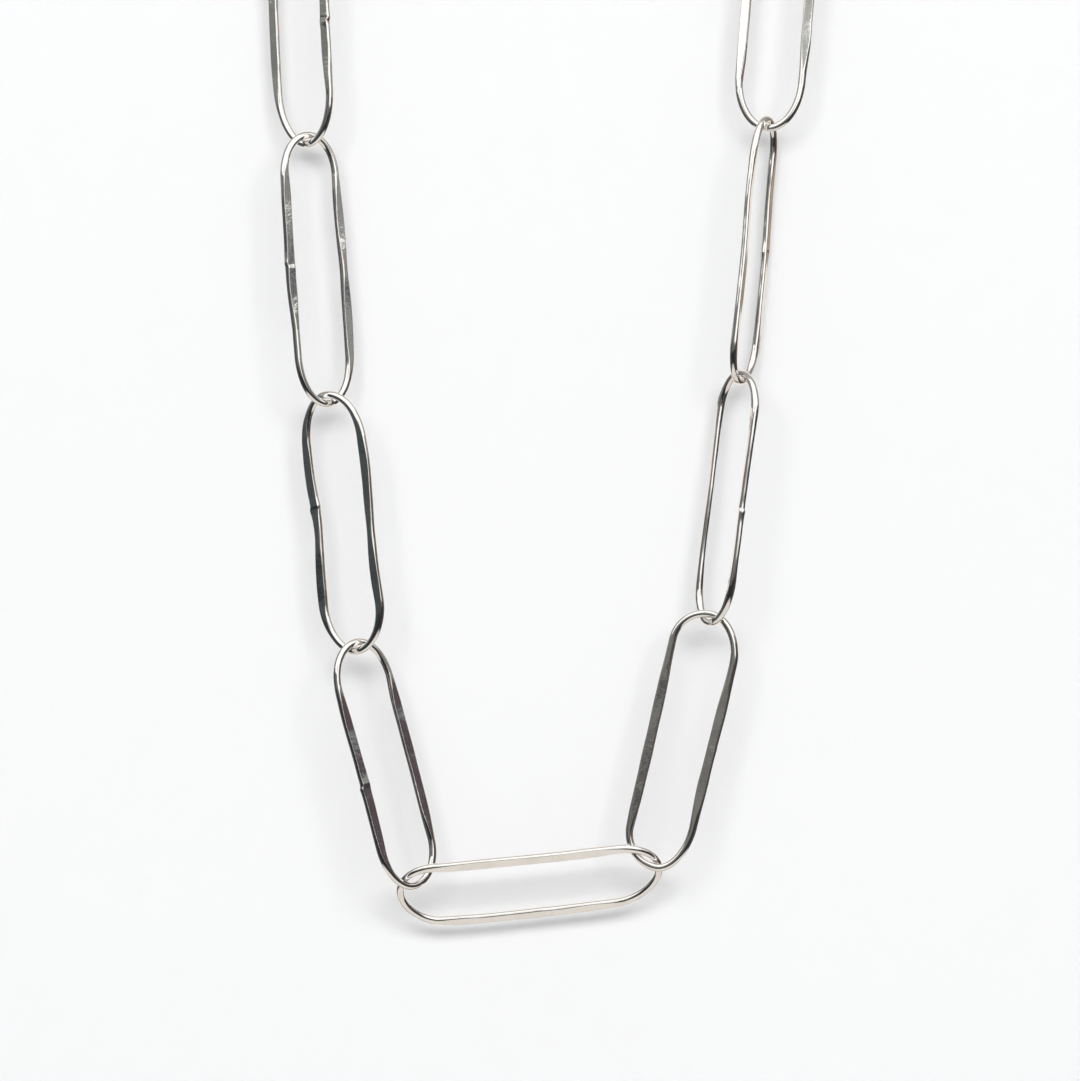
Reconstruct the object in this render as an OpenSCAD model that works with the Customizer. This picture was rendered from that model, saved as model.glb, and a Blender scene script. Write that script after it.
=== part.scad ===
// Hand-forged paperclip chain: a necklace of long oval wire links, closed by one plain
// S-shaped hook, hanging as a whole loop.
// Millimetres, Z up, and the front faces -Y. The origin is under the middle of the hook,
// where the loop rests on what it hangs from.

/* [Wire] */
// Diameter of the round wire that the links are bent from
wire_d = 1.02; // [0.8:0.01:1.1]
// Width of a link's hammered side, across its flat faces
flat_w = 1.40; // [1.1:0.05:1.6]
// Thickness of a link's hammered side, between its flat faces
flat_t = 0.72; // [0.5:0.02:0.9]
// Gap left where one link hangs in another
play = 0.13; // [0.05:0.01:0.15]

/* [Bottom link] */
// Distance between the two contacts that the bottom link hangs by
bottom_span = 32.3; // [31:0.1:34]
// Slope of the line through those two contacts, right end up
span_slope = 4.3; // [0:0.1:8]
// How far the bottom link's middle hangs below that line
bottom_drop = 1.15; // [1.0:0.05:1.4]
// How far the bottom link's middle stands behind the other links
bottom_back = 1.65; // [1.4:0.05:1.9]
// How far the bottom link's middle is shifted to the left
bottom_shift = 0.65; // [0.5:0.05:0.9]

/* [Hook] */
// Diameter of the hook's wire
hook_wire_d = 1.20; // [1.0:0.05:1.3]
// Radius of the open bend, at the middle of the wire
bend_r = 2.40; // [2.2:0.05:2.8]
// Radius of the closed eye, at the middle of the wire
eye_r = 2.20; // [2.0:0.05:2.6]
// Length of the hook's free arm, beyond the open bend
arm_len = 5.0; // [3:0.5:7]
// How far the tip of the arm flares out
arm_flare = 0.8; // [0.2:0.1:1.2]

/* [Hidden] */
// Steps round a quarter of a link's end, and along a link's side
END_STEPS = 5;
SIDE_STEPS = 8;
// Steps round a half turn of the hook's wire, and along its slanting shank
BEND_STEPS = 8;
SHANK_STEPS = 8;

// Columns of the tables of links
NAME = 0;
PITCH = 1;
LEAN = 2;
TURN = 3;
LEFT = 4;
RIGHT = 5;
LOW_END = 6;
HIGH_END = 7;

// Each row has the link's name, the distance between the contacts it hangs by, its lean from
// upright with the top towards +X, its turn about its own length with the right side going
// back, how far the left and the right side stand out at the low end, the middle and the high
// end, and how long the low and the high end are on the left and on the right.
// Both tables go upwards from the bottom link.
LEFT_LINKS = [
    ["link_left_1", 32.0, -13.4, 32, [3.70, 4.05, 4.45], [4.30, 4.30, 4.05], [5.6, 5.6], [6.0, 6.0]],
    ["link_left_2", 33.0, -6.9, -30, [4.30, 3.70, 4.00], [4.25, 4.40, 4.70], [6.6, 6.6], [6.4, 6.4]],
    ["link_left_3", 34.5, -4.3, 33, [4.05, 4.10, 4.10], [4.10, 4.10, 3.95], [6.6, 6.6], [5.3, 5.3]],
    ["link_left_4", 33.4, -3.0, -35, [4.30, 4.10, 4.00], [4.00, 4.10, 4.10], [7.2, 7.2], [6.0, 6.0]],
    ["link_left_5", 33.2, -2.5, 35, [4.10, 4.10, 4.10], [4.10, 4.10, 4.10], [5.6, 5.6], [5.6, 5.6]],
    ["link_arch_left", 33.2, 40.0, -37, [4.10, 4.10, 4.10], [4.10, 4.10, 4.10], [5.6, 5.6], [5.6, 5.6]],
];
RIGHT_LINKS = [
    ["link_right_1", 33.2, 12.4, -9, [4.35, 4.15, 4.20], [3.70, 4.05, 4.30], [4.6, 6.4], [4.2, 6.0]],
    ["link_right_2", 32.2, 7.1, -60, [3.30, 3.40, 3.55], [4.80, 4.70, 4.85], [5.2, 6.2], [4.8, 5.0]],
    ["link_right_3", 33.8, 6.1, 68, [3.70, 3.40, 3.90], [4.30, 4.40, 3.80], [5.3, 5.3], [5.3, 5.3]],
    ["link_right_4", 33.4, 5.2, -12, [4.20, 4.20, 4.15], [4.20, 4.20, 4.15], [6.4, 6.4], [6.0, 6.0]],
    ["link_right_5", 33.2, 3.5, 50, [4.10, 4.10, 4.10], [4.10, 4.10, 4.10], [5.6, 5.6], [5.6, 5.6]],
    ["link_arch_right", 33.2, -45.0, -25, [4.10, 4.10, 4.10], [4.10, 4.10, 4.10], [5.6, 5.6], [5.6, 5.6]],
];
// The bottom link lies across the loop: its low end is on the left, its left side is above.
BOTTOM_LINK =
    ["link_bottom", 33.3, 84.3, 38, [4.40, 4.25, 4.40], [4.55, 5.00, 4.40], [5.0, 5.0], [5.8, 5.8]];

// Distance between the middles of two wires that cross where one link hangs in another
hang = wire_d + play;
// How much further a piece at the top reaches past its contacts, as it hangs round a corner
CORNER = 0.38;

// Unit step up a line that leans by an angle, as [x, z]
function up(lean) = [sin(lean), cos(lean)];

// Contact below row k of a table, counted up from the contact where its chain starts
function contact(start, rows, k) =
    k == 0 ? start : contact(start, rows, k - 1) + rows[k - 1][PITCH] * up(rows[k - 1][LEAN]);

// The two contacts that the bottom link hangs by
half_span = bottom_span / 2 * [cos(span_slope), sin(span_slope)];
left_start = -half_span;
right_start = half_span;

// The hook joins the tops of the two chains
hook_low = contact(left_start, LEFT_LINKS, len(LEFT_LINKS));
hook_high = contact(right_start, RIGHT_LINKS, len(RIGHT_LINKS));
hook_line = hook_high - hook_low;
hook_len = norm(hook_line) + hang + 2 * CORNER;
hook_lean = atan2(hook_line[0], hook_line[1]);
hang_point = (hook_low + hook_high) / 2 - [0, hook_wire_d / 2];

// Value along a side that passes through three given values, at its low end, middle and high end
function through(values, t) =
    values[1] + (values[2] - values[0]) / 2 * t
    + ((values[0] + values[2]) / 2 - values[1]) * t * t;

// Heights of the rings up one side of a link: close together round its ends
function side_heights(length, low_end, high_end) = concat(
    [for (i = [1:END_STEPS]) low_end * (1 - cos(90 * i / END_STEPS))],
    [for (i = [1:SIDE_STEPS - 1]) low_end + (length - low_end - high_end) * i / SIDE_STEPS],
    [for (i = [END_STEPS:-1:1]) length - high_end * (1 - cos(90 * i / END_STEPS))]
);

// How much of its full width a link has at a height: less than one only round its ends
function end_share(height, length, low_end, high_end) =
    height < low_end ? sqrt(1 - pow(1 - height / low_end, 2))
    : height > length - high_end ? sqrt(1 - pow(1 - (length - height) / high_end, 2))
    : 1;

// How flat a side is hammered at a height: 0 where it is still round, 1 where it is flattest
function flatness(height, length, low_end, high_end) =
    let (first = 0.7 * low_end, last = length - 0.7 * high_end)
    height <= first || height >= last ? 0
    : pow(sin(180 * (height - first) / (last - first)), 0.7);

// Rings up one side of a link, each as [across, height, flatness]
function side_rings(row, length, side, sign, which) =
    let (low_end = row[LOW_END][which], high_end = row[HIGH_END][which])
    [for (z = side_heights(length, low_end, high_end))
        [sign * through(row[side], 2 * z / length - 1) * end_share(z, length, low_end, high_end),
         z, flatness(z, length, low_end, high_end)]];

function reversed(list) = [for (i = [len(list) - 1:-1:0]) list[i]];

// Rings round a whole link: up its right side, over the top and down its left side
function link_rings(row, length) = concat(
    [[0, 0, 0]],
    side_rings(row, length, RIGHT, 1, 1),
    [[0, length, 0]],
    reversed(side_rings(row, length, LEFT, -1, 0))
);

// Six-sided section of the wire, as [outwards, across the plane]: its flat faces lie in the
// plane of the link, and hammering makes it wider and thinner
function section(diameter, flatness) =
    let (
        half_w = (diameter + (flat_w - diameter) * flatness) / 2,
        half_t = (0.95 * diameter + (flat_t - 0.95 * diameter) * flatness) / 2,
        face = 0.55 + 0.20 * flatness
    )
    [[half_w, 0], [face * half_w, half_t], [-face * half_w, half_t],
     [-half_w, 0], [-face * half_w, -half_t], [face * half_w, -half_t]];

// Unit vector out of a planar path at ring i, square to its run from ring a to ring b
function outward(rings, a, b) =
    let (run = [rings[b][0] - rings[a][0], rings[b][1] - rings[a][1]])
    [run[1], -run[0]] / norm(run);

// Points of the section round ring i
function ring_points(ring, out, diameter) =
    [for (p = section(diameter, ring[2]))
        [ring[0] + out[0] * p[0], p[1], ring[1] + out[1] * p[0]]];

// Faces of the tube between ring a and ring b
function tube_faces(a, b) =
    [for (k = [0:5]) [a * 6 + k, b * 6 + k, b * 6 + (k + 1) % 6, a * 6 + (k + 1) % 6]];

// A link on its own, standing on its low end at the origin, with its plane facing -Y
module wire_loop(row, length) {
    rings = link_rings(row, length);
    count = len(rings);
    points = [for (i = [0:count - 1])
        each ring_points(rings[i], outward(rings, (i + count - 1) % count, (i + 1) % count), wire_d)];
    faces = [for (i = [0:count - 1]) each tube_faces(i, (i + 1) % count)];
    polyhedron(points = points, faces = faces, convexity = 4);
}

// Puts a piece that stands on its low end at a place in the loop
module hung(low, lean, turn, back = 0) {
    translate([low[0] - hang_point[0], back, low[1] - hang_point[1]])
        rotate([0, lean, 0]) rotate([0, 0, turn]) children();
}

// One link of a side chain, from its table and row number
module chain_link(start, rows, k) {
    row = rows[k];
    past = hang / 2 + (k == len(rows) - 1 ? CORNER : 0);
    low = contact(start, rows, k) - past * up(row[LEAN]);
    color("silver") hung(low, row[LEAN], row[TURN]) wire_loop(row, row[PITCH] + 2 * past);
}

// The link at the bottom, which lies across the loop and hangs by its upper corners
module link_bottom() {
    lean = BOTTOM_LINK[LEAN];
    length = BOTTOM_LINK[PITCH] + hang;
    middle = [-bottom_shift, -bottom_drop];
    color("silver") hung(middle - length / 2 * up(lean), lean, BOTTOM_LINK[TURN], bottom_back)
        wire_loop(BOTTOM_LINK, length);
}

// Middle line of the hook, from the tip of its arm round the open bend and up the shank to
// the closed eye, as rings of [across, height, flatness]
function hook_rings() =
    let (shank_low = bend_r, shank_high = hook_len - eye_r)
    concat(
        [for (i = [3:-1:1]) [bend_r + arm_flare * pow(i / 3, 2), bend_r + arm_len * i / 3, 0]],
        [for (i = [0:BEND_STEPS]) let (a = 180 * i / BEND_STEPS)
            [bend_r * cos(a), bend_r * (1 - sin(a)), 0]],
        [for (i = [1:SHANK_STEPS - 1]) let (t = i / SHANK_STEPS)
            [(eye_r - bend_r) / 2 - (eye_r + bend_r) / 2 * cos(180 * t),
             shank_low + (shank_high - shank_low) * t, 0]],
        [for (i = [0:12]) let (a = 280 * i / 12)
            [eye_r * cos(a), shank_high + eye_r * sin(a), 0]]
    );

// The hook that closes the loop, one piece of bent wire that lies flat on what it hangs from
module hook_clasp() {
    rings = hook_rings();
    last = len(rings) - 1;
    points = [for (i = [0:last])
        each ring_points(rings[i], outward(rings, max(i - 1, 0), min(i + 1, last)), hook_wire_d)];
    faces = concat(
        [[0, 1, 2, 3, 4, 5]],
        [for (i = [0:last - 1]) each tube_faces(i, i + 1)],
        [[for (k = [5:-1:0]) last * 6 + k]]
    );
    color("silver") hung(hook_low - (hang / 2 + CORNER) * up(hook_lean), hook_lean, 90)
        polyhedron(points = points, faces = faces, convexity = 6);
}

link_bottom();
for (k = [0:len(LEFT_LINKS) - 1])
    chain_link(left_start, LEFT_LINKS, k);
for (k = [0:len(RIGHT_LINKS) - 1])
    chain_link(right_start, RIGHT_LINKS, k);
hook_clasp();
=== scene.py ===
import math
import random

import bmesh
import bpy
import numpy as np
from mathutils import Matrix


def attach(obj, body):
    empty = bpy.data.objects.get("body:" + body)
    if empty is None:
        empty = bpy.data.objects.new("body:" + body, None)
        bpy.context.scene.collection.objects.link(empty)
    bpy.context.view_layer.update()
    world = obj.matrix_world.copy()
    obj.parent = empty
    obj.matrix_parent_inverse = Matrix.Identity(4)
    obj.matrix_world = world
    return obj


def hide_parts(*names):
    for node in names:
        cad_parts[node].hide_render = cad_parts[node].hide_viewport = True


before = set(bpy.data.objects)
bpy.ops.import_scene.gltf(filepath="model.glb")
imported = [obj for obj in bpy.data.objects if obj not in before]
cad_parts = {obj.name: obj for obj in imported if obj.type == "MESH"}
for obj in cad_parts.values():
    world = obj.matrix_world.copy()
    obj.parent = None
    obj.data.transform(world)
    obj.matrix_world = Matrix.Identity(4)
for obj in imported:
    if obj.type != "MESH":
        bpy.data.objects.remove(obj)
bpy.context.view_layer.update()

MM = 0.001

# Sizes of the chain, in mm

WIRE = 1.02
HOOK_WIRE = 1.20
FLAT_WIDTH = 1.40
FLAT_DEPTH = 0.72

# What is left free between two wires that hang in each other, and how much further the top links
# reach round the hook
PLAY = 0.13
HANG = WIRE + PLAY
CORNER = 0.38

# The bottom link: how far apart its neighbours' ends are and how many degrees their line climbs,
# and how far the link lies below, behind and to the left of that line's middle
BOTTOM_SPAN = 32.3
SPAN_SLOPE = 4.3
BOTTOM_DROP = 1.15
BOTTOM_BACK = 1.65
BOTTOM_SHIFT = 0.65

# The hook: its open bend and its eye, and its arm, which flares out at the tip
BEND_R = 2.40
EYE_R = 2.20
ARM_LENGTH = 5.0
ARM_FLARE = 0.8
EYE_SWEEP = math.radians(280)
HOOK_TURN = 90

# A link's name, the distance between its contacts, its lean, its turn, how far its left and its
# right side stand out at the low end, the middle and the high end, and how long its low and its
# high end are on the left and on the right: the same table as the solids are built from
LEFT_CHAIN = [
    ("link_left_1", 32.0, -13.4, 32, (3.70, 4.05, 4.45), (4.30, 4.30, 4.05), (5.6, 5.6), (6.0, 6.0)),
    ("link_left_2", 33.0, -6.9, -30, (4.30, 3.70, 4.00), (4.25, 4.40, 4.70), (6.6, 6.6), (6.4, 6.4)),
    ("link_left_3", 34.5, -4.3, 33, (4.05, 4.10, 4.10), (4.10, 4.10, 3.95), (6.6, 6.6), (5.3, 5.3)),
    ("link_left_4", 33.4, -3.0, -35, (4.30, 4.10, 4.00), (4.00, 4.10, 4.10), (7.2, 7.2), (6.0, 6.0)),
    ("link_left_5", 33.2, -2.5, 35, (4.10, 4.10, 4.10), (4.10, 4.10, 4.10), (5.6, 5.6), (5.6, 5.6)),
    ("link_arch_left", 33.2, 40.0, -37, (4.10, 4.10, 4.10), (4.10, 4.10, 4.10), (5.6, 5.6), (5.6, 5.6)),
]
RIGHT_CHAIN = [
    ("link_right_1", 33.2, 12.4, -9, (4.35, 4.15, 4.20), (3.70, 4.05, 4.30), (4.6, 6.4), (4.2, 6.0)),
    ("link_right_2", 32.2, 7.1, -60, (3.30, 3.40, 3.55), (4.80, 4.70, 4.85), (5.2, 6.2), (4.8, 5.0)),
    ("link_right_3", 33.8, 6.1, 68, (3.70, 3.40, 3.90), (4.30, 4.40, 3.80), (5.3, 5.3), (5.3, 5.3)),
    ("link_right_4", 33.4, 5.2, -12, (4.20, 4.20, 4.15), (4.20, 4.20, 4.15), (6.4, 6.4), (6.0, 6.0)),
    ("link_right_5", 33.2, 3.5, 50, (4.10, 4.10, 4.10), (4.10, 4.10, 4.10), (5.6, 5.6), (5.6, 5.6)),
    ("link_arch_right", 33.2, -45.0, -25, (4.10, 4.10, 4.10), (4.10, 4.10, 4.10), (5.6, 5.6), (5.6, 5.6)),
]
BOTTOM = ("link_bottom", 33.3, 84.3, 38, (4.40, 4.25, 4.40), (4.55, 5.00, 4.40), (5.0, 5.0), (5.8, 5.8))

# Where each link was soldered shut: the side, how far up it as a share of the link's length, and
# how much of the seam still shows
SEAMS = {
    "link_left_1": ("left", 0.43, 0.9),
    "link_left_2": ("left", 0.57, 0.9),
    "link_left_3": ("left", 0.52, 0.5),
    "link_left_4": ("right", 0.47, 0.8),
    "link_left_5": ("left", 0.45, 0.6),
    "link_arch_left": ("right", 0.55, 0.7),
    "link_right_1": ("right", 0.50, 0.18),
    "link_right_2": ("right", 0.46, 0.6),
    "link_right_3": ("right", 0.51, 0.6),
    "link_right_4": ("left", 0.58, 0.5),
    "link_right_5": ("right", 0.48, 0.7),
    "link_arch_right": ("left", 0.52, 0.5),
    "link_bottom": ("right", 0.53, 0.3),
}

# How far the hand-bent sides stand out from their even curve, in mm, at these shares of a link's
# height: first its left side, then its right side
BEND_HEIGHTS = (0.15, 0.30, 0.50, 0.70, 0.85)
BENDS = {
    "link_left_1": ((-0.15, -0.20, -0.22, -0.05, 0.00), (-0.05, -0.10, -0.20, -0.33, -0.33)),
    "link_left_2": ((0.50, 0.47, 0.02, 0.44, 0.16), (0.05, -0.22, -0.12, 0.14, -0.04)),
    "link_left_3": ((-0.10, -0.08, 0.08, -0.06, -0.20), (-0.14, 0.04, 0.00, -0.12, -0.12)),
    "link_left_4": ((0.15, 0.43, 0.40, 0.20, 0.00), (0.00, -0.18, -0.20, 0.05, 0.10)),
    "link_left_5": ((0.12, -0.10, 0.15, 0.05, -0.10), (-0.08, 0.14, 0.02, -0.15, 0.08)),
    "link_arch_left": ((-0.10, 0.12, 0.05, -0.14, 0.06), (0.10, -0.05, -0.16, 0.10, 0.00)),
    "link_right_1": ((0.22, 0.13, 0.10, 0.12, 0.10), (0.00, -0.12, -0.02, 0.12, 0.16)),
    "link_right_2": ((0.25, 0.52, 0.33, 0.45, 0.52), (0.04, 0.14, 0.06, 0.12, 0.14)),
    "link_right_3": ((-0.05, 0.10, 0.05, 0.00, 0.00), (0.15, 0.00, 0.00, 0.00, -0.45)),
    "link_right_4": ((0.10, 0.00, 0.05, 0.10, 0.00), (-0.05, 0.00, -0.08, 0.00, 0.05)),
    "link_right_5": ((-0.10, 0.12, 0.00, -0.12, 0.10), (0.12, 0.05, -0.14, 0.02, 0.12)),
    "link_arch_right": ((0.08, -0.12, 0.10, 0.12, -0.08), (-0.10, 0.08, 0.12, -0.10, 0.00)),
    "link_bottom": ((-0.43, -0.40, -0.38, -0.38, -0.33), (0.56, 0.56, 0.48, 0.44, 0.46)),
}

# How far both sides of a link stand behind its plane, at the same heights
SWAYS = {
    "link_left_2": (0.05, -0.06, 0.08, 0.05, -0.05),
    "link_right_2": (-0.18, -0.06, -0.14, -0.09, -0.06),
    "link_right_3": (-0.06, -0.10, -0.08, 0.18, 0.04),
    "link_bottom": (-0.20, -0.28, -0.30, -0.26, -0.20),
}

# How far the hammered faces are twisted out of the link's plane, in degrees: left side, right side
TWISTS = {
    "link_right_2": (22, -22),
    "link_right_3": (-6, 6),
    "link_right_4": (4, 4),
    "link_bottom": (0, 7),
}

# Where the flat faces begin and end, as shares of a link's height: left side, right side. At
# each end, this share of the face's own length goes by until it is flattest
FLAT_RISE = 0.26
FLAT_SPAN = (0.06, 0.94)
FLAT_SPANS = {
    "link_left_1": ((0.06, 0.85), (0.16, 0.85)),
    "link_left_3": ((0.28, 0.92), (0.08, 0.86)),
    "link_left_4": ((0.12, 0.93), (0.18, 0.93)),
    "link_right_1": ((0.10, 0.90), (0.12, 0.88)),
    "link_right_4": ((0.14, 0.93), (0.22, 0.93)),
}

# Where a side was struck less and stays rounder: which side, and how far up it. It is rounder by
# this much, and this share of the link's height to each side
ROUNDER = {
    "link_left_2": (("left", 0.45), ("right", 0.46)),
    "link_left_3": (("right", 0.50),),
    "link_left_5": (("left", 0.62),),
    "link_right_1": (("left", 0.82), ("right", 0.18), ("right", 0.78)),
    "link_right_5": (("right", 0.40),),
}
ROUNDER_BY = 0.6
ROUNDER_REACH = 0.08

# How unevenly the wire is hammered. A wave is given by its size and by how far apart its crests
# are, all in mm, but for slopes, which have none, and twists, which are in radians
BLOW_SPACING = 3.4
BLOW_WIDENS = 0.18
BLOW_DENT = 0.014
EDGE_WAVE = (0.006, 1.3)
FINE_DENT = (0.010, 2.2)
WIDE_DENT = (0.018, 5.0)
FACE_SLOPE = (0.09, 7.0)
ROUND_SLOPE = (0.22, 16.0)
FACE_TWIST = (math.radians(2.5), 14.0)
SIDE_WOBBLE = (0.03, 9.0)
SIDE_SWAY = (0.04, 11.0)

# The wire's section: its half depth where it is round, as a share of the wire, how much deeper it
# bulges under a flat face, how far above it a face that wasn't struck lies, how soft a face's edge
# is, how the face sinks, the slope of the round part fades and the hammer's marks come in as the
# wire gets flatter
ROUND_DEPTH = 0.485
BULGE = 0.22
FACE_ABOVE = 0.012
FACE_EDGE = 0.06
FACE_SINKS = 1.1
SLOPE_FADES = 1.3
HAMMER_SHOWS = 1.8

# A solder seam: how far its lump, its step and its crease reach, in mm, how far the crease strays,
# and what each of them does to the wire's width, depth and faces
FAR_OFF = 100.0
LUMP_REACH = 0.7
STEP_RUN = 0.15
STEP_REACH = 1.2
CREASE_REACH = 0.13
CREASE_STRAYS = 0.2
LUMP_WIDENS = 0.11
LUMP_DEEPENS = 0.03
LUMP_LIFTS = 0.04
LUMP_SLOPES = 0.10
STEP_WIDENS = 0.05
STEP_LIFTS = 0.05
STEP_ASIDE = 0.07
CREASE_NARROWS = 0.04
CREASE_SINKS = 0.06

# The hook's wire: its depth as a share of its width, how uneven that is and how many mm apart the
# crests are, and the length over which its ends are rounded, down to a share of the wire
HOOK_DEPTH = 0.95
HOOK_WAVE = (0.01, 2.5)
END_LENGTH = 0.35
TIP_SHARE = 0.02

# How many rings make a link, and the places of the points on a quarter of each ring: first over
# its flat face, as shares of the face's half, then from there round the wire's edge. A face is
# never taken to be narrower than an angle, and its corner is found in a few rounds
RINGS = 460
ON_FACE = (0.0, 0.35, 0.65, 0.86, 0.97)
ROUND_EDGE = (0.04, 0.18, 0.45, 0.72)
LEAST_FACE = math.radians(22)
CORNER_ROUNDS = 4

# How many points draw a link's side, the hook's arm, its bend or its shank, and its eye, and how
# softly a curve runs through the values of a table
SIDE_POINTS = 900
ARM_POINTS = 40
BEND_POINTS = 80
EYE_POINTS = 110
CURVE_POINTS = 13
CURVE_SOFTNESS = 0.06


# Where the links hang

def up(lean):
    """Unit step up a line that leans by an angle, as (x, z)."""
    return np.array([math.sin(math.radians(lean)), math.cos(math.radians(lean))])


def climb(start, chain):
    """The contacts of a chain, from its start to its top."""
    contacts = [start]
    for row in chain:
        contacts.append(contacts[-1] + row[1] * up(row[2]))
    return contacts


span_half = BOTTOM_SPAN / 2 * up(90 - SPAN_SLOPE)
left_contacts = climb(-span_half, LEFT_CHAIN)
right_contacts = climb(span_half, RIGHT_CHAIN)
hook_low = left_contacts[-1]
hook_high = right_contacts[-1]
hook_step = hook_high - hook_low
hook_lean = math.degrees(math.atan2(hook_step[0], hook_step[1]))
hook_length = float(np.linalg.norm(hook_step)) + HANG + 2 * CORNER
hang_point = (hook_low + hook_high) / 2 - np.array([0, HOOK_WIRE / 2])


def hung(points, low, lean, turn, back=0.0):
    """Points of a piece that stands on its low end, moved to its place in the loop."""
    turn_by = math.radians(turn)
    lean_by = math.radians(lean)
    x = points[..., 0] * math.cos(turn_by) - points[..., 1] * math.sin(turn_by)
    y = points[..., 0] * math.sin(turn_by) + points[..., 1] * math.cos(turn_by)
    z = points[..., 2]
    across = x * math.cos(lean_by) + z * math.sin(lean_by) + low[0] - hang_point[0]
    height = z * math.cos(lean_by) - x * math.sin(lean_by) + low[1] - hang_point[1]
    return np.stack([across, y + back, height], axis=-1)


# The shape of a forged link

def through(values, t):
    """Value along a side that passes through its low, middle and high value, t from -1 to 1."""
    low, middle, high = values
    return middle + (high - low) / 2 * t + ((low + high) / 2 - middle) * t * t


def end_share(height, length, low_end, high_end):
    """How much of its full width a link has at each height: less than one only round its ends."""
    share = np.ones_like(height)
    low = height < low_end
    share[low] = np.sqrt(np.clip(1 - (1 - height[low] / low_end) ** 2, 0, 1))
    high = height > length - high_end
    share[high] = np.sqrt(np.clip(1 - (1 - (length - height[high]) / high_end) ** 2, 0, 1))
    return share


def soft_curve(heights, values, at):
    """A soft curve through a few values, which runs out to nothing at both ends."""
    places = (0.0, *heights, 1.0)
    levels = (0.0, *values, 0.0)
    offs = np.linspace(-CURVE_SOFTNESS, CURVE_SOFTNESS, CURVE_POINTS)
    return np.mean([np.interp(at + off, places, levels) for off in offs], axis=0)


def side_line(row, length, which, sign):
    """A dense line up one side of a link, as across and height."""
    low_end = row[6][which]
    high_end = row[7][which]
    height = length * (1 - np.cos(np.linspace(0, math.pi, SIDE_POINTS))) / 2
    out = through(row[4 + which], 2 * height / length - 1)
    out = out + soft_curve(BEND_HEIGHTS, BENDS[row[0]][which], height / length)
    return np.stack([sign * out * end_share(height, length, low_end, high_end), height], axis=1)


def even_steps(line, count, closed):
    """The line again, in equal steps, with the share of the way at each."""
    if closed:
        line = np.vstack([line, line[:1]])
    steps = np.linalg.norm(np.diff(line, axis=0), axis=1)
    way = np.concatenate([[0], np.cumsum(steps)])
    places = np.linspace(0, way[-1], count + 1)[:-1] if closed else np.linspace(0, way[-1], count)
    evened = np.stack([np.interp(places, way, line[:, k]) for k in range(line.shape[1])], axis=1)
    return evened, places, way[-1]


def outwards(run):
    """Unit steps square to a line's run, away from the middle of the link."""
    run = run / np.linalg.norm(run, axis=1)[:, None]
    return np.stack([run[:, 1], -run[:, 0]], axis=1)


def round_line(line, out, reach, beside):
    """Points of the rings round a line, from how far each lies out of it and beside its plane."""
    across = line[:, 0:1] + out[:, 0:1] * reach
    height = line[:, 1:2] + out[:, 1:2] * reach
    return np.stack([across, beside, height], axis=-1)


def smooth_noise(places, way, spacing, chance):
    """Soft random waves along the wire, from -1 to 1, that join up round a closed link."""
    knots = max(4, round(way / spacing))
    values = np.array([chance.uniform(-1, 1) for _ in range(knots)])
    at = places / way * knots
    first = np.floor(at).astype(int)
    share = at - first
    share = share * share * (3 - 2 * share)
    low = values[first % knots]
    high = values[(first + 1) % knots]
    return low * (1 - share) + high * share


def flatness(share, span):
    """How flat a side is hammered: 0 where it is still round, 1 where it is flattest."""
    t = np.clip((share - span[0]) / (span[1] - span[0]), 0, 1)
    from_end = np.clip(np.minimum(t, 1 - t) / FLAT_RISE, 0, 1)
    return np.sin(math.pi / 2 * from_end)


def softly_below(value, limit, softness):
    """The lower of a value and its limit, with a soft change from one to the other."""
    near = np.clip(1 - np.abs(value - limit) / softness, 0, 1)
    return np.minimum(value, limit) - near * near * softness / 4


def quarter_turns(half_width, half_depth, face, slope):
    """Places round a quarter of each ring, as angles from the middle of the face to the edge."""
    corner = np.arccos(np.clip(face / half_depth, 0, 1))
    for _ in range(CORNER_ROUNDS):
        cut = (face + slope * half_width * np.sin(corner)) / half_depth
        corner = np.arccos(np.clip(cut, 0, 1))
    corner = np.maximum(corner, LEAST_FACE)[:, None]
    on_face = corner * np.array(ON_FACE)[None, :]
    round_edge = corner + (math.pi / 2 - corner) * np.array(ROUND_EDGE)[None, :]
    return np.hstack([on_face, round_edge])


def wire_section(half_width, half_depth, faces, slopes, tilt):
    """Points round each ring of the wire, as outwards and across the link's plane.

    The wire is an oval whose front and back are struck flat: faces holds how far each face is
    from the middle, and slopes how much it falls away to one side."""
    front = quarter_turns(half_width, half_depth, faces[0], slopes[0])
    back = quarter_turns(half_width, half_depth, faces[1], slopes[1])
    far_back = quarter_turns(half_width, half_depth, faces[1], -slopes[1])
    far_front = quarter_turns(half_width, half_depth, faces[0], -slopes[0])
    edge = np.full((len(half_width), 1), math.pi / 2)
    turns = np.hstack([
        front,
        edge,
        math.pi - back[:, ::-1],
        math.pi + far_back[:, 1:],
        edge + math.pi,
        2 * math.pi - far_front[:, :0:-1],
    ])
    out = half_width[:, None] * np.sin(turns)
    side = half_depth[:, None] * np.cos(turns)
    struck = []
    for sign, face, slope in ((1, faces[0], slopes[0]), (-1, faces[1], slopes[1])):
        plane = face[:, None] + slope[:, None] * out
        struck.append(sign * softly_below(sign * side, plane, FACE_EDGE))
    side = np.where(np.cos(turns) >= 0, struck[0], struck[1])
    turned_out = out * np.cos(tilt)[:, None] - side * np.sin(tilt)[:, None]
    turned_side = out * np.sin(tilt)[:, None] + side * np.cos(tilt)[:, None]
    return turned_out, turned_side


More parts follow.
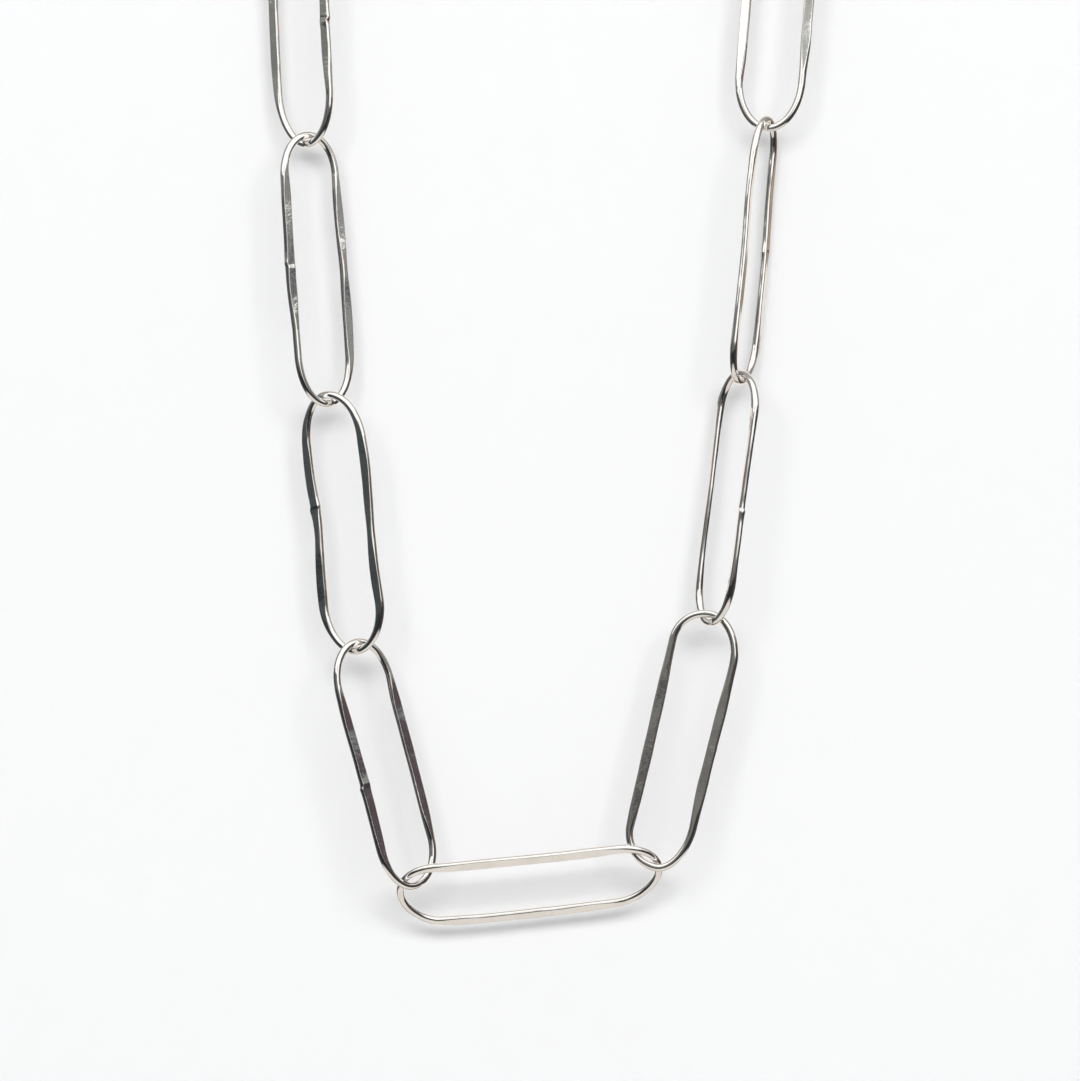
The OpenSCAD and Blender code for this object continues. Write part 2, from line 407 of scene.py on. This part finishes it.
def struck_points(flat):
    """How much each point of each ring shows the hammer: the faces do, the round edges don't."""
    quarter = [1.0] * len(ON_FACE) + [0.0] * len(ROUND_EDGE)
    ring = quarter + [0.0] + quarter[::-1] + quarter[1:] + [0.0] + quarter[:0:-1]
    return np.clip(HAMMER_SHOWS * flat, 0, 1)[:, None] * np.array(ring)[None, :]


def hammered_flat(name, on_left, share):
    """How flat a link is hammered at each of its rings."""
    left_span, right_span = FLAT_SPANS.get(name, (FLAT_SPAN, FLAT_SPAN))
    flat = np.where(on_left, flatness(share, left_span), flatness(share, right_span))
    for side, place in ROUNDER.get(name, ()):
        struck_less = 1 - ROUNDER_BY * np.exp(-(((share - place) / ROUNDER_REACH) ** 2))
        flat = np.where(on_left == (side == "left"), flat * struck_less, flat)
    return flat


def seam_marks(name, on_left, height, length, chance):
    """What a link's seam leaves at each ring: a lump of solder, a step where the wire's two ends
    don't quite meet, and a crease."""
    side, place, shows = SEAMS[name]
    there = on_left if side == "left" else ~on_left
    off = np.where(there, height - place * length, FAR_OFF)
    lump = shows * np.exp(-((off / LUMP_REACH) ** 2))
    step = shows * chance.choice((-1, 1)) * np.tanh(off / STEP_RUN) * np.exp(-((off / STEP_REACH) ** 2))
    crease_place = chance.uniform(-CREASE_STRAYS, CREASE_STRAYS)
    crease = shows * np.exp(-(((off - crease_place) / CREASE_REACH) ** 2))
    return lump, step, crease


def forged_link(row, length):
    """Points of a whole link on its low end: its wire bent, soldered shut and hammered."""
    name = row[0]
    chance = random.Random(name)
    right = side_line(row, length, 1, 1)
    left = side_line(row, length, 0, -1)[::-1]
    line, places, way = even_steps(np.vstack([right[:-1], left[:-1]]), RINGS, True)
    out = outwards(np.roll(line, -1, axis=0) - np.roll(line, 1, axis=0))
    on_left = line[:, 0] < 0
    height = line[:, 1]
    flat = hammered_flat(name, on_left, height / length)

    def waves(size, spacing):
        return size * smooth_noise(places, way, spacing, chance)

    # uneven hammering: where the blows fell harder, the wire is wider and its faces lie deeper
    blow = waves(1, BLOW_SPACING)
    widening = (FLAT_WIDTH - WIRE) / 2 * flat * (1 + BLOW_WIDENS * blow)
    half_width = WIRE / 2 + widening + waves(*EDGE_WAVE)
    half_depth = ROUND_DEPTH * WIRE * (1 + BULGE * flat)
    not_struck = half_depth + FACE_ABOVE
    deepest = not_struck - FLAT_DEPTH / 2
    faces = []
    slopes = []
    for _ in range(2):
        dent = waves(*FINE_DENT) + waves(*WIDE_DENT) + BLOW_DENT * blow
        faces.append(not_struck - deepest * flat ** FACE_SINKS - dent * flat)
        face_slope = waves(*FACE_SLOPE) * flat
        slopes.append(face_slope + waves(*ROUND_SLOPE) * np.clip(1 - SLOPE_FADES * flat, 0, 1))
    twist = np.where(on_left, *TWISTS.get(name, (0, 0)))
    tilt = np.radians(twist) * flat + waves(*FACE_TWIST) * flat

    lump, step, crease = seam_marks(name, on_left, height, length, chance)
    half_width = half_width * (1 + LUMP_WIDENS * lump + STEP_WIDENS * step - CREASE_NARROWS * crease)
    half_depth = half_depth * (1 + LUMP_DEEPENS * lump)
    faces = [
        face + LUMP_LIFTS * lump + way_up * STEP_LIFTS * step - CREASE_SINKS * crease
        for face, way_up in zip(faces, (1, -1))
    ]
    slopes = [slope + LUMP_SLOPES * lump * chance.uniform(-1, 1) for slope in slopes]

    # a hand-bent middle line
    level = (0,) * len(BEND_HEIGHTS)
    wobble = waves(*SIDE_WOBBLE) * flat + STEP_ASIDE * step
    sway = waves(*SIDE_SWAY) * flat + soft_curve(BEND_HEIGHTS, SWAYS.get(name, level), height / length)

    turned_out, turned_side = wire_section(half_width, half_depth, faces, slopes, tilt)
    points = round_line(line, out, wobble[:, None] + turned_out, sway[:, None] + turned_side)
    return points, struck_points(flat)


def hook_line():
    """Middle line of the hook, from the tip of its arm round the open bend and up to the eye."""
    low = BEND_R
    high = hook_length - EYE_R
    arm = [
        (BEND_R + ARM_FLARE * (1 - t) ** 2, low + ARM_LENGTH * (1 - t))
        for t in np.linspace(0, 1, ARM_POINTS)
    ]
    bend = [
        (BEND_R * math.cos(a), low - BEND_R * math.sin(a))
        for a in np.linspace(0, math.pi, BEND_POINTS)
    ]
    middle = (EYE_R - BEND_R) / 2
    half = (EYE_R + BEND_R) / 2
    shank = [
        (middle - half * math.cos(math.pi * t), low + (high - low) * t)
        for t in np.linspace(0, 1, BEND_POINTS)
    ]
    eye = [
        (EYE_R * math.cos(a), high + EYE_R * math.sin(a))
        for a in np.linspace(0, EYE_SWEEP, EYE_POINTS)
    ]
    return np.array(arm + bend[1:] + shank[1:] + eye[1:])


def bent_hook():
    """Points of the hook on its low end, with its wire's ends rounded over."""
    chance = random.Random("hook")
    line, places, way = even_steps(hook_line(), RINGS, False)
    out = outwards(np.gradient(line, axis=0))
    to_end = np.minimum(places, way - places)
    to_end = np.clip(to_end / END_LENGTH, TIP_SHARE, 1)
    rounding = np.sqrt(np.clip(1 - (1 - to_end) ** 2, TIP_SHARE, 1))
    size, spacing = HOOK_WAVE
    half = HOOK_WIRE / 2 * rounding * (1 + size * smooth_noise(places, way, spacing, chance))
    none = np.zeros(len(places))
    turned_out, turned_side = wire_section(half, HOOK_DEPTH * half, [half] * 2, [none] * 2, none)
    return round_line(line, out, turned_out, turned_side)


def skin(name, own, struck, placed, closed):
    """A mesh of rings of points, with each point's own place and hammering kept for the finish."""
    rings, count = placed.shape[:2]
    faces = []
    for i in range(rings if closed else rings - 1):
        a = i * count
        b = (i + 1) % rings * count
        for k in range(count):
            faces.append((a + k, b + k, b + (k + 1) % count, a + (k + 1) % count))
    if not closed:
        faces.append(tuple(range(count)))
        faces.append(tuple((rings - 1) * count + k for k in reversed(range(count))))
    mesh = bpy.data.meshes.new(name)
    mesh.from_pydata((placed.reshape(-1, 3) * MM).tolist(), [], faces)
    mesh.update()
    place = mesh.attributes.new("own_place", "FLOAT_VECTOR", "POINT")
    place.data.foreach_set("vector", own.reshape(-1, 3).astype(np.float32).ravel())
    hammered = mesh.attributes.new("hammered", "FLOAT", "POINT")
    hammered.data.foreach_set("value", struck.astype(np.float32).ravel())
    mesh.polygons.foreach_set("use_smooth", [True] * len(mesh.polygons))
    piece = bpy.data.objects.new(name, mesh)
    bpy.context.scene.collection.objects.link(piece)
    return piece


# Node maths

class Signal:
    """A socket's value, so that node maths can be written as expressions."""

    def __init__(self, bench, socket):
        self.bench = bench
        self.socket = socket

    def __add__(self, other):
        return self.bench.maths("ADD", self, other)

    def __radd__(self, other):
        return self.bench.maths("ADD", other, self)

    def __sub__(self, other):
        return self.bench.maths("SUBTRACT", self, other)

    def __rsub__(self, other):
        return self.bench.maths("SUBTRACT", other, self)

    def __mul__(self, other):
        return self.bench.maths("MULTIPLY", self, other)

    def __rmul__(self, other):
        return self.bench.maths("MULTIPLY", other, self)


class Bench:
    """A node tree in which a finish, or the light of the studio, is put together."""

    def __init__(self, tree):
        self.tree = tree
        tree.nodes.clear()

    def node(self, kind, settings=None, sockets=None, output=0):
        """Adds one node: its settings first, then the values or links of its sockets."""
        made = self.tree.nodes.new(kind)
        for name, value in (settings or {}).items():
            if name == "stops":
                self.set_stops(made.color_ramp, value)
            else:
                setattr(made, name, value)
        for name, value in (sockets or {}).items():
            if isinstance(value, Signal):
                self.tree.links.new(value.socket, made.inputs[name])
            else:
                made.inputs[name].default_value = value
        return Signal(self, made.outputs[output]) if made.outputs else made

    def set_stops(self, ramp, stops):
        """Gives a ramp its stops, each a place and a colour."""
        while len(ramp.elements) < len(stops):
            ramp.elements.new(0.5)
        for element, (place, colour) in zip(ramp.elements, stops):
            element.position = place
            element.color = (*colour, 1)

    def maths(self, operation, *values):
        """One step of maths on numbers."""
        sockets = dict(enumerate(values))
        return self.node("ShaderNodeMath", {"operation": operation}, sockets)

    def grain(self, place, scale, detail, roughness=0.5):
        """Soft random values from 0 to 1, by place."""
        return self.node(
            "ShaderNodeTexNoise",
            {"noise_dimensions": "3D"},
            {"Vector": place, "Scale": scale, "Detail": detail, "Roughness": roughness},
        )

    def stretched(self, place, stretch):
        """A place that is scaled along its three directions."""
        return self.node(
            "ShaderNodeVectorMath", {"operation": "MULTIPLY"}, {0: place, 1: stretch}
        )

    def smooth_range(self, value, low, high):
        """0 below one value, 1 above another, and soft between."""
        return self.node(
            "ShaderNodeMapRange",
            {"interpolation_type": "SMOOTHSTEP"},
            {"Value": value, "From Min": low, "From Max": high},
        )

    def window(self, value, rise, fall):
        """0, then 1 past its soft rise, then 0 again past its soft fall."""
        return self.smooth_range(value, *rise) * (1 - self.smooth_range(value, *fall))

    def blend(self, share, first, second):
        """One colour turning into another."""
        return self.node(
            "ShaderNodeMix",
            {"data_type": "RGBA"},
            {"Factor": share, 6: first, 7: second},
            output=2,
        )


# The finishes

# Marks in the silver: how many go to a millimetre, how fine their detail is and how rough it is
CLOUD = (0.35, 3.0, 0.5)
PLANISH = (1.7, 2.0, 0.5)
PECKS = (4.5, 2.0, 0.6)
PITS = (11.0, 3.0, 0.6)
LONG_LINES = (2.2, 3.0, 0.6)
CROSS_LINES = (1.3, 2.0, 0.6)
LONG_STRETCH = (9.0, 9.0, 0.5)
CROSS_STRETCH = (2.0, 2.0, 14.0)

# Of two kinds of mark that are mixed, the share of the first
LONG_SHARE = 0.6
CLOUD_SHARE = 0.7
PIT_SHARE = 0.6

# Where each kind of mark begins to show and shows in full, and how strongly it colours the silver,
# dulls it and stands out on a hammered face
TARNISH_SHOWS = (0.46, 0.66)
DIRT_SHOWS = (0.52, 0.70)
PITS_SHOW = (0.45, 0.75)
SCRATCHES_SHOW = (0.46, 0.66)
TARNISH_TINTS = 0.5
DIRT_TINTS = 0.35
PITS_DULL = 0.04
TARNISH_DULLS = 0.03
HAMMER_DULLS = 0.01
SCRATCHES_DULL = 0.07
PLANISH_RELIEF = 0.9
PECKS_RELIEF = 0.16
PITS_RELIEF = 0.06
RELIEF_STRENGTH = 0.34
RELIEF_DEPTH = 0.04 * MM

SILVER = (0.905, 0.895, 0.88, 1)
DIRT = (0.50, 0.48, 0.46, 1)
LINK_TARNISH = (0.82, 0.78, 0.72, 1)
HOOK_TARNISH = (0.83, 0.79, 0.74, 1)


def polished_silver(name, tarnished, scratch_depth, dullness):
    """Silver wire that was hammered, tumbled and worn a little."""
    finish = bpy.data.materials.new(name)
    finish.use_nodes = True
    bench = Bench(finish.node_tree)
    place = bench.node("ShaderNodeAttribute", {"attribute_name": "own_place"}, output=1)
    hammered = bench.node("ShaderNodeAttribute", {"attribute_name": "hammered"}, output=2)
    cloud = bench.grain(place, *CLOUD)
    planish = bench.grain(place, *PLANISH)
    pecks = bench.grain(place, *PECKS)
    pits = bench.grain(place, *PITS)
    long_lines = bench.grain(bench.stretched(place, LONG_STRETCH), *LONG_LINES)
    cross_lines = bench.grain(bench.stretched(place, CROSS_STRETCH), *CROSS_LINES)
    scratches = long_lines * LONG_SHARE + cross_lines * (1 - LONG_SHARE)
    clouded = cloud * CLOUD_SHARE + pits * (1 - CLOUD_SHARE)
    tarnish = bench.smooth_range(clouded, *TARNISH_SHOWS)
    colour = bench.blend(tarnish * TARNISH_TINTS, SILVER, tarnished)
    specks = pits * PIT_SHARE + pecks * (1 - PIT_SHARE)
    dirt = bench.smooth_range(specks, *DIRT_SHOWS) * hammered
    colour = bench.blend(dirt * DIRT_TINTS, colour, DIRT)
    pitted = bench.smooth_range(pits, *PITS_SHOW)
    scratched = bench.smooth_range(scratches, *SCRATCHES_SHOW)
    roughness = dullness + PITS_DULL * pitted + TARNISH_DULLS * tarnish
    roughness = roughness + hammered * (HAMMER_DULLS + SCRATCHES_DULL * scratched)
    struck = planish * PLANISH_RELIEF + pecks * PECKS_RELIEF + pits * PITS_RELIEF
    relief = hammered * struck + scratches * scratch_depth
    normal = bench.node(
        "ShaderNodeBump",
        None,
        {"Strength": RELIEF_STRENGTH, "Distance": RELIEF_DEPTH, "Height": relief},
    )
    shader = bench.node(
        "ShaderNodeBsdfPrincipled",
        None,
        {"Base Color": colour, "Metallic": 1.0, "Roughness": roughness, "Normal": normal},
    )
    bench.node("ShaderNodeOutputMaterial", None, {"Surface": shader})
    return finish


link_silver = polished_silver("hammered_silver", LINK_TARNISH, scratch_depth=0.16, dullness=0.03)
hook_silver = polished_silver("drawn_silver", HOOK_TARNISH, scratch_depth=0.22, dullness=0.08)


# The pieces

# How far each link's own place is moved on, so that neighbours don't share their marks
MARKS_APART = 50.0


def hang_piece(name, own, struck, placed, closed, finish):
    """Puts a finished piece in the place of its solid."""
    piece = skin(name + "_forged", own, struck, placed, closed)
    piece.data.materials.append(finish)
    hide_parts(name)
    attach(piece, "root")


def hang_chain(chain, contacts):
    """All links of one side of the loop."""
    for k, row in enumerate(chain):
        past = HANG / 2 + (CORNER if k == len(chain) - 1 else 0)
        own, struck = forged_link(row, row[1] + 2 * past)
        placed = hung(own, contacts[k] - past * up(row[2]), row[2], row[3])
        marked = own + MARKS_APART * (k + 1)
        hang_piece(row[0], marked, struck, placed, True, link_silver)


hang_chain(LEFT_CHAIN, left_contacts)
hang_chain(RIGHT_CHAIN, right_contacts)

bottom_length = BOTTOM[1] + HANG
bottom_middle = np.array([-BOTTOM_SHIFT, -BOTTOM_DROP])
bottom_own, bottom_struck = forged_link(BOTTOM, bottom_length)
bottom_end = bottom_middle - bottom_length / 2 * up(BOTTOM[2])
bottom_placed = hung(bottom_own, bottom_end, BOTTOM[2], BOTTOM[3], BOTTOM_BACK)
hang_piece("link_bottom", bottom_own, bottom_struck, bottom_placed, True, link_silver)

hook_own = bent_hook()
hook_foot = hook_low - (HANG / 2 + CORNER) * up(hook_lean)
hook_placed = hung(hook_own, hook_foot, hook_lean, HOOK_TURN)
hook_struck = np.zeros(hook_own.shape[:2])
hang_piece("hook_clasp", hook_own, hook_struck, hook_placed, False, hook_silver)


# The studio

# The floor, and the wall from its foot upwards: heights, and how far back they stand from the
# chain's middle, in metres. The wall leans away from the chain towards its foot
FLOOR_HEIGHT = -0.30
FLOOR_LINE = [(FLOOR_HEIGHT, -3), (FLOOR_HEIGHT, 3)]
FLOOR_HALF = 3
WALL_LINE = [
    (FLOOR_HEIGHT, 0.0116),
    (-0.19, 0.0086),
    (-0.115, 0.0062),
    (-0.085, 0.0056),
    (0.5, 0.0056),
]
WALL_HALF = 0.7
WALL_COLOUR = (0.90, 0.90, 0.90)
FLOOR_COLOUR = (0.86, 0.86, 0.87)
CARD_MOTTLE = (60.0, 3.0)
MOTTLE_SHOWS = 0.05
MOTTLE_SHADE = 0.96


def pale_finish(name, colour, see_through_back):
    """Matt pale card; the wall's is seen through from behind, so that the chain's back shows."""
    finish = bpy.data.materials.new(name)
    finish.use_nodes = True
    bench = Bench(finish.node_tree)
    place = bench.node("ShaderNodeTexCoord", output=3)
    mottle = bench.grain(place, *CARD_MOTTLE)
    darker = tuple(MOTTLE_SHADE * c for c in colour)
    shade = bench.blend(mottle * MOTTLE_SHOWS, (*colour, 1), (*darker, 1))
    shader = bench.node("ShaderNodeBsdfDiffuse", None, {"Color": shade, "Roughness": 1.0})
    if see_through_back:
        clear = bench.node("ShaderNodeBsdfTransparent")
        behind = bench.node("ShaderNodeNewGeometry", output=6)
        shader = bench.node("ShaderNodeMixShader", None, {0: behind, 1: shader, 2: clear})
    bench.node("ShaderNodeOutputMaterial", None, {"Surface": shader})
    return finish


def stage_sheet(name, line, half, finish):
    """A sheet of the stage: a line of heights and depths, drawn out to both sides."""
    mesh = bpy.data.meshes.new(name)
    corners = []
    for height, depth in line:
        corners += [(-half, depth, height), (half, depth, height)]
    faces = [(2 * k, 2 * k + 1, 2 * k + 3, 2 * k + 2) for k in range(len(line) - 1)]
    mesh.from_pydata(corners, [], faces)
    mesh.update()
    mesh.materials.append(finish)
    sheet = bpy.data.objects.new(name, mesh)
    bpy.context.scene.collection.objects.link(sheet)
    return sheet


wall_card = pale_finish("pale_wall", WALL_COLOUR, see_through_back=True)
floor_card = pale_finish("pale_floor", FLOOR_COLOUR, see_through_back=False)
wall = stage_sheet("stage_wall", WALL_LINE, WALL_HALF, wall_card)
floor = stage_sheet("stage_floor", FLOOR_LINE, FLOOR_HALF, floor_card)

# What the silver mirrors is painted: a glowing round room whose middle is at the chain, seen in
# reflections only. It is white above the camera's level and dark below it in front, with a pale warm
# floor and a few dark or tinted panels, all painted reflection. Its directions are counted in degrees
# from the camera to the right, its heights are in metres
ROOM_RADIUS = 0.30
ROOM_MIDDLE = -0.13
ROOM_SEGMENTS = 64
ROOM_RINGS = 32
ROOM_WHITE = (1.22, 1.21, 1.19)
ROOM_BACK = (0.92, 0.84, 0.78)
ROOM_FLOOR = (0.80, 0.755, 0.70)
ROOM_FRONT = (0.152, 0.149, 0.139)
ROOM_DEEP = (0.026, 0.028, 0.031)
BACK_FOOT = (0.100, 0.082, 0.070)
BACK_TOP = (0.400, 0.380, 0.350)

# Its soft edges: how far to the side the front ends and the back begins, where the front gets dark
# and where it gets deep, how far up its brim steps and in which direction, and where the floor, and
# the foot and the top of the back, come in
FRONT_ENDS = (88.0, 100.0)
BACK_BEGINS = (104.0, 114.0)
FRONT_DARK = (-0.148, -0.118)
FRONT_DEEP = (-0.205, -0.180)
BRIM_STEP = -0.018
BRIM_TURN = (4.0, 14.0)
FLOOR_EDGE = (-0.19, -0.23)
BACK_FOOT_DEPTH = (0.085, 0.105)
BACK_FOOT_EDGE = (-0.20, -0.23)
BACK_TOP_DEPTH = (-0.020, 0.005)
BACK_TOP_EDGE = (0.20, 0.23)
BACK_END = (0.15, 0.17)
PANEL_SIDE = 1.5
PANEL_EDGE = 0.002

# Folds and mottles in the painted reflections: how many go to a metre, how fine their detail is and
# how rough it is, how far they shift the edges, and how much lighter a mottled panel is
FOLDS = (30.0, 3.0)
FOLD_STRETCH = (1.0, 1.0, 0.35)
FOLDS_TURN = 8.0
FOLDS_LIFT = 0.012
REFLECTION_MOTTLES = (90.0, 4.0, 0.6)
REFLECTION_MOTTLES_LIFT = 0.02
REFLECTION_MOTTLES_SHOW = (0.40, 0.66)
REFLECTION_MOTTLE_GAIN = 1.7
REFLECTION_MOTTLE_OVER = 0.01

# Each panel is a painted reflection, a patch that given faces of the links mirror: its name, its
# direction, half its breadth, its foot, its top and its colour
PANELS = [
    ("left dim reflection", -34, 30, -0.160, -0.076, (0.150, 0.148, 0.141)),
    ("pale low reflection", -16, 5, -0.215, -0.178, (0.190, 0.184, 0.170)),
    ("middle low reflection", -9, 3, -0.184, -0.170, (0.178, 0.175, 0.165)),
    ("dark middle reflection", -3, 7, -0.171, -0.157, (0.045, 0.045, 0.048)),
    ("left tent edge", -106, 32, -0.32, -0.095, (0.072, 0.076, 0.078)),
    ("high left tent edge", -106, 32, -0.095, 0.10, (0.190, 0.195, 0.190)),
    ("right tent edge", 106, 32, -0.32, -0.085, (0.050, 0.043, 0.040)),
    ("high right tent edge", 106, 32, -0.085, 0.10, (0.240, 0.230, 0.220)),
    ("low left dark reflection", -64, 19, -0.300, -0.184, (0.018, 0.023, 0.028)),
    ("left dark reflection", -64, 19, -0.184, -0.090, (0.050, 0.057, 0.060)),
    ("high left dark reflection", -73, 13, -0.090, -0.058, (0.150, 0.158, 0.150)),
    ("warm reflection", 124, 13, -0.150, -0.098, (0.300, 0.245, 0.185)),
    ("low right dark reflection", 62, 17, -0.300, -0.140, (0.040, 0.038, 0.037)),
    ("brown cloth", 60, 19, -0.141, -0.099, (0.070, 0.052, 0.058)),
    ("teal cloth", 66, 16, -0.099, -0.091, (0.060, 0.085, 0.090)),
    ("grey reflection", 66, 16, -0.091, -0.056, (0.215, 0.215, 0.207)),
    ("dark narrow reflection", 76, 4, -0.090, -0.056, (0.090, 0.096, 0.098)),
    ("pale card", -5, 8, -0.064, -0.022, (0.360, 0.370, 0.350)),
]


def seen_in_silver_only(thing):
    """The silver mirrors this piece of the studio, and nothing else takes notice of it."""
    thing.visible_camera = False
    thing.visible_diffuse = False
    thing.visible_transmission = False
    thing.visible_volume_scatter = False
    thing.visible_shadow = False


def mirrored_room():
    """The painted reflections: a glowing round room that only the silver mirrors."""
    shell = bmesh.new()
    bmesh.ops.create_uvsphere(
        shell, u_segments=ROOM_SEGMENTS, v_segments=ROOM_RINGS, radius=ROOM_RADIUS
    )
    mesh = bpy.data.meshes.new("stage_room")
    shell.to_mesh(mesh)
    shell.free()
    finish = bpy.data.materials.new("painted_reflection_lining")
    finish.use_nodes = True
    bench = Bench(finish.node_tree)
    place = bench.node("ShaderNodeTexCoord", output=3)
    split = bench.node("ShaderNodeSeparateXYZ", None, {0: place}).socket.node
    x, y, z = (Signal(bench, split.outputs[k]) for k in range(3))
    # Folds wave the edges of the painted reflections; mottles make their panels lighter in patches
    folds = bench.grain(bench.stretched(place, FOLD_STRETCH), *FOLDS)
    reflection_mottles = bench.grain(place, *REFLECTION_MOTTLES)
    mottled_reflection = bench.smooth_range(reflection_mottles, *REFLECTION_MOTTLES_SHOW)
    turned = bench.maths("ARCTAN2", x, y * -1.0) * (180 / math.pi)
    angle = turned + (folds - 0.5) * FOLDS_TURN
    height = z + ROOM_MIDDLE + (folds - 0.5) * FOLDS_LIFT
    folded = height + (reflection_mottles - 0.5) * REFLECTION_MOTTLES_LIFT

    from_front = bench.maths("ABSOLUTE", angle)
    at_back = bench.smooth_range(from_front, *BACK_BEGINS)
    colour = bench.blend(at_back, (*ROOM_WHITE, 1), (*ROOM_BACK, 1))
    in_front = 1 - bench.smooth_range(from_front, *FRONT_ENDS)
    shallow = bench.smooth_range(folded, *FRONT_DEEP)
    front_shade = bench.blend(shallow, (*ROOM_DEEP, 1), (*ROOM_FRONT, 1))
    brim = bench.smooth_range(angle, *BRIM_TURN) * BRIM_STEP
    below = in_front * (1 - bench.smooth_range(folded - brim, *FRONT_DARK))
    colour = bench.blend(below, colour, front_shade)

    # Dark and tinted panels of painted reflection, laid over the room's glow
    for _, direction, breadth, foot, top, tint in PANELS:
        beside = bench.maths("ABSOLUTE", angle - direction)
        across = 1 - bench.smooth_range(beside, breadth - PANEL_SIDE, breadth + PANEL_SIDE)
        foot_edge = (foot - PANEL_EDGE, foot + PANEL_EDGE)
        top_edge = (top - PANEL_EDGE, top + PANEL_EDGE)
        lighter = tuple(REFLECTION_MOTTLE_GAIN * c + REFLECTION_MOTTLE_OVER for c in tint)
        painted_patch = bench.blend(mottled_reflection, (*tint, 1), (*lighter, 1))
        colour = bench.blend(across * bench.window(height, foot_edge, top_edge), colour, painted_patch)

    colour = bench.blend(bench.smooth_range(z, *FLOOR_EDGE), colour, (*ROOM_FLOOR, 1))
    back_foot = bench.window(y, BACK_FOOT_DEPTH, BACK_END) * bench.smooth_range(z, *BACK_FOOT_EDGE)
    colour = bench.blend(back_foot, colour, (*BACK_FOOT, 1))
    back_top = bench.window(y, BACK_TOP_DEPTH, BACK_END) * bench.smooth_range(z, *BACK_TOP_EDGE)
    colour = bench.blend(back_top, colour, (*BACK_TOP, 1))
    # The room glows only for the silver: every colour above is painted reflection, not a lamp
    glow = bench.node("ShaderNodeEmission", None, {"Color": colour, "Strength": 1.0})
    bench.node("ShaderNodeOutputMaterial", None, {"Surface": glow})
    finish.cycles.emission_sampling = "NONE"
    mesh.materials.append(finish)
    room = bpy.data.objects.new("stage_room", mesh)
    room.location = (0, 0, ROOM_MIDDLE)
    bpy.context.scene.collection.objects.link(room)
    seen_in_silver_only(room)


# The light: a tent that is a little cooler overhead, and one soft key light above the camera
TENT_LIGHT = 0.465
TENT_LOW = (0.98, 0.992, 1.0, 1)
TENT_HIGH = (0.965, 0.985, 1.0, 1)
TENT_RISE = (-0.5, 0.3)
KEY_PLACE = (0.09, -1.50, 0.47)
KEY_AIM = (0, 0, -0.13)
KEY_SIZE = (1.60, 0.50)
KEY_POWER = 18.1
KEY_COLOUR = (1.0, 0.996, 0.990)


def light_tent():
    """Soft cool light from all round."""
    world = bpy.data.worlds.new("light_tent")
    bpy.context.scene.world = world
    world.use_nodes = True
    bench = Bench(world.node_tree)
    way = bench.node("ShaderNodeTexCoord", output=0)
    split = bench.node("ShaderNodeSeparateXYZ", None, {0: way}).socket.node
    share = bench.smooth_range(Signal(bench, split.outputs[2]), *TENT_RISE)
    colour = bench.blend(share, TENT_LOW, TENT_HIGH)
    tent = bench.node("ShaderNodeBackground", None, {0: colour, 1: TENT_LIGHT})
    bench.node("ShaderNodeOutputWorld", None, {"Surface": tent})


def soft_box(name, place, aim, size, power, colour):
    """A soft light that points at a spot."""
    light = bpy.data.lights.new(name, "AREA")
    light.shape = "RECTANGLE"
    light.size, light.size_y = size
    light.energy = power
    light.color = colour
    lamp = bpy.data.objects.new(name, light)
    lamp.location = place
    step = np.array(aim) - np.array(place)
    turn = math.atan2(step[0], step[1])
    fall = math.atan2(-step[2], math.hypot(step[0], step[1]))
    lamp.rotation_euler = (math.pi / 2 - fall, 0, -turn)
    lamp.visible_camera = False
    lamp.visible_glossy = False
    bpy.context.scene.collection.objects.link(lamp)


wall.visible_glossy = False
floor.visible_glossy = False
mirrored_room()
light_tent()
soft_box("key_light", KEY_PLACE, KEY_AIM, KEY_SIZE, KEY_POWER, KEY_COLOUR)


# The camera

# The picture takes in 143.1 mm at the chain, and looks at it level and from far off
CAMERA_AWAY = 1.2
CAMERA_RIGHT = 0.50 * MM
CAMERA_HEIGHT = -144.5 * MM
PICTURE_WIDTH = 0.1431
SENSOR_WIDTH = 36
FURTHEST_SEEN = 20
camera_data = bpy.data.cameras.new("camera")
camera_data.sensor_fit = "HORIZONTAL"
camera_data.sensor_width = SENSOR_WIDTH
camera_data.lens = SENSOR_WIDTH * CAMERA_AWAY / PICTURE_WIDTH
camera_data.clip_end = FURTHEST_SEEN
camera = bpy.data.objects.new("camera", camera_data)
camera.location = (CAMERA_RIGHT, -CAMERA_AWAY, CAMERA_HEIGHT)
camera.rotation_euler = (math.pi / 2, 0, 0)
bpy.context.scene.collection.objects.link(camera)
bpy.context.scene.camera = camera
bpy.context.scene.view_settings.view_transform = "Standard"
